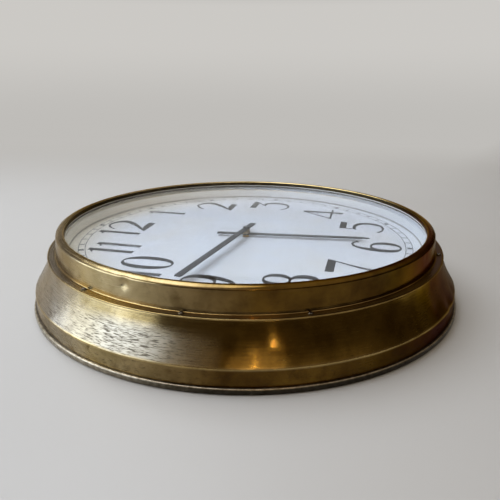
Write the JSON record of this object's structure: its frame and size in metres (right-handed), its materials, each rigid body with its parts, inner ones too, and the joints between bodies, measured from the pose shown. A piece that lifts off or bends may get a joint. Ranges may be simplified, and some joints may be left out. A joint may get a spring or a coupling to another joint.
{
  "type": "workshop clock",
  "caption": "Large round workshop clock on its back: spun brass case and screwed bezel, flat glass, white dial, baton hands turned by a geared battery movement, keyhole hanger behind.",
  "frame": {"origin": "middle of the flat steel back, on the surface that the clock lies on", "axes": "+Z out of the dial through the glass, +Y towards 12 o'clock, +X towards 3 o'clock"},
  "size_m": [0.61, 0.61, 0.1026],
  "materials": {
    "case_brass": "spun, brushed along the turn, stained with age",
    "back_steel": "dull rolled steel",
    "bright_steel": "plated",
    "dark_brass_screw": "blackened by age",
    "window_glass": "clear, polished",
    "seal_rubber": "matt",
    "white_enamel": "satin white",
    "hand_paint": "satin dark grey",
    "movement_brass": "straight grained",
    "motor_can": "zinc plated",
    "tray_plastic": "fine grain",
    "cell_jacket": "plain shrink sleeve"
  },
  "bodies": {
    "case": {"back_plate": "back_steel", "case_body": "case_brass", "hanger_plate": "bright_steel", "hanger_rivet_1": "bright_steel", "hanger_rivet_2": "bright_steel", "back_screw_1": "bright_steel", "back_screw_2": "bright_steel", "back_screw_3": "bright_steel", "back_screw_4": "bright_steel", "back_screw_5": "bright_steel", "back_screw_6": "bright_steel", "bezel": "case_brass", "bezel_screw_1": "dark_brass_screw", "bezel_screw_2": "dark_brass_screw", "bezel_screw_3": "dark_brass_screw", "bezel_screw_4": "dark_brass_screw", "bezel_screw_5": "dark_brass_screw", "bezel_screw_6": "dark_brass_screw", "bezel_screw_7": "dark_brass_screw", "bezel_screw_8": "dark_brass_screw", "glass": "window_glass", "glass_seal": "seal_rubber", "reflector_ring": "white_enamel", "dial_plate": "white_enamel", "minute_wheel_screw": "bright_steel", "movement_rear_plate": "movement_brass", "movement_front_plate": "movement_brass", "pillar_1": "movement_brass", "pillar_2": "movement_brass", "pillar_3": "movement_brass", "pillar_4": "movement_brass", "pillar_nut_1": "bright_steel", "pillar_nut_2": "bright_steel", "pillar_nut_3": "bright_steel", "pillar_nut_4": "bright_steel", "geared_motor": "motor_can", "motor_screw_1": "bright_steel", "motor_screw_2": "bright_steel", "battery_tray": "tray_plastic", "battery_cell": "cell_jacket", "contact_positive": "movement_brass", "contact_negative": "movement_brass"},
    "minute_train": {"centre_arbor": "bright_steel", "centre_wheel": "movement_brass", "cannon_pinion": "movement_brass", "minute_collet": "movement_brass", "minute_hand": "hand_paint", "hand_nut": "bright_steel"},
    "minute_wheel_set": {"minute_wheel": "movement_brass", "minute_pinion": "bright_steel"},
    "hour_train": {"hour_wheel": "movement_brass", "hour_collet": "movement_brass", "hour_hand": "hand_paint"},
    "motor_output": {"motor_pinion": "bright_steel"}
  },
  "joints": [
    {"name": "minute_train_turn", "type": "hinge", "parent": "case", "child": "minute_train", "pos_m": [0, 0, 0.045], "axis": [0, 0, -1], "continuous": true},
    {"name": "minute_wheel_turn", "type": "hinge", "parent": "case", "child": "minute_wheel_set", "pos_m": [0.03, 0, 0.048], "axis": [0, 0, -1], "continuous": true},
    {"name": "hour_train_turn", "type": "hinge", "parent": "case", "child": "hour_train", "pos_m": [0, 0, 0.06], "axis": [0, 0, -1], "continuous": true},
    {"name": "motor_output_turn", "type": "hinge", "parent": "case", "child": "motor_output", "pos_m": [-0.03, 0, 0.034], "axis": [0, 0, -1], "continuous": true}
  ],
  "couplings": [
    {"joint": "minute_wheel_turn", "follows": "minute_train_turn", "ratio": -0.33333},
    {"joint": "hour_train_turn", "follows": "minute_train_turn", "ratio": 0.083333},
    {"joint": "motor_output_turn", "follows": "minute_train_turn", "ratio": -4}
  ]
}
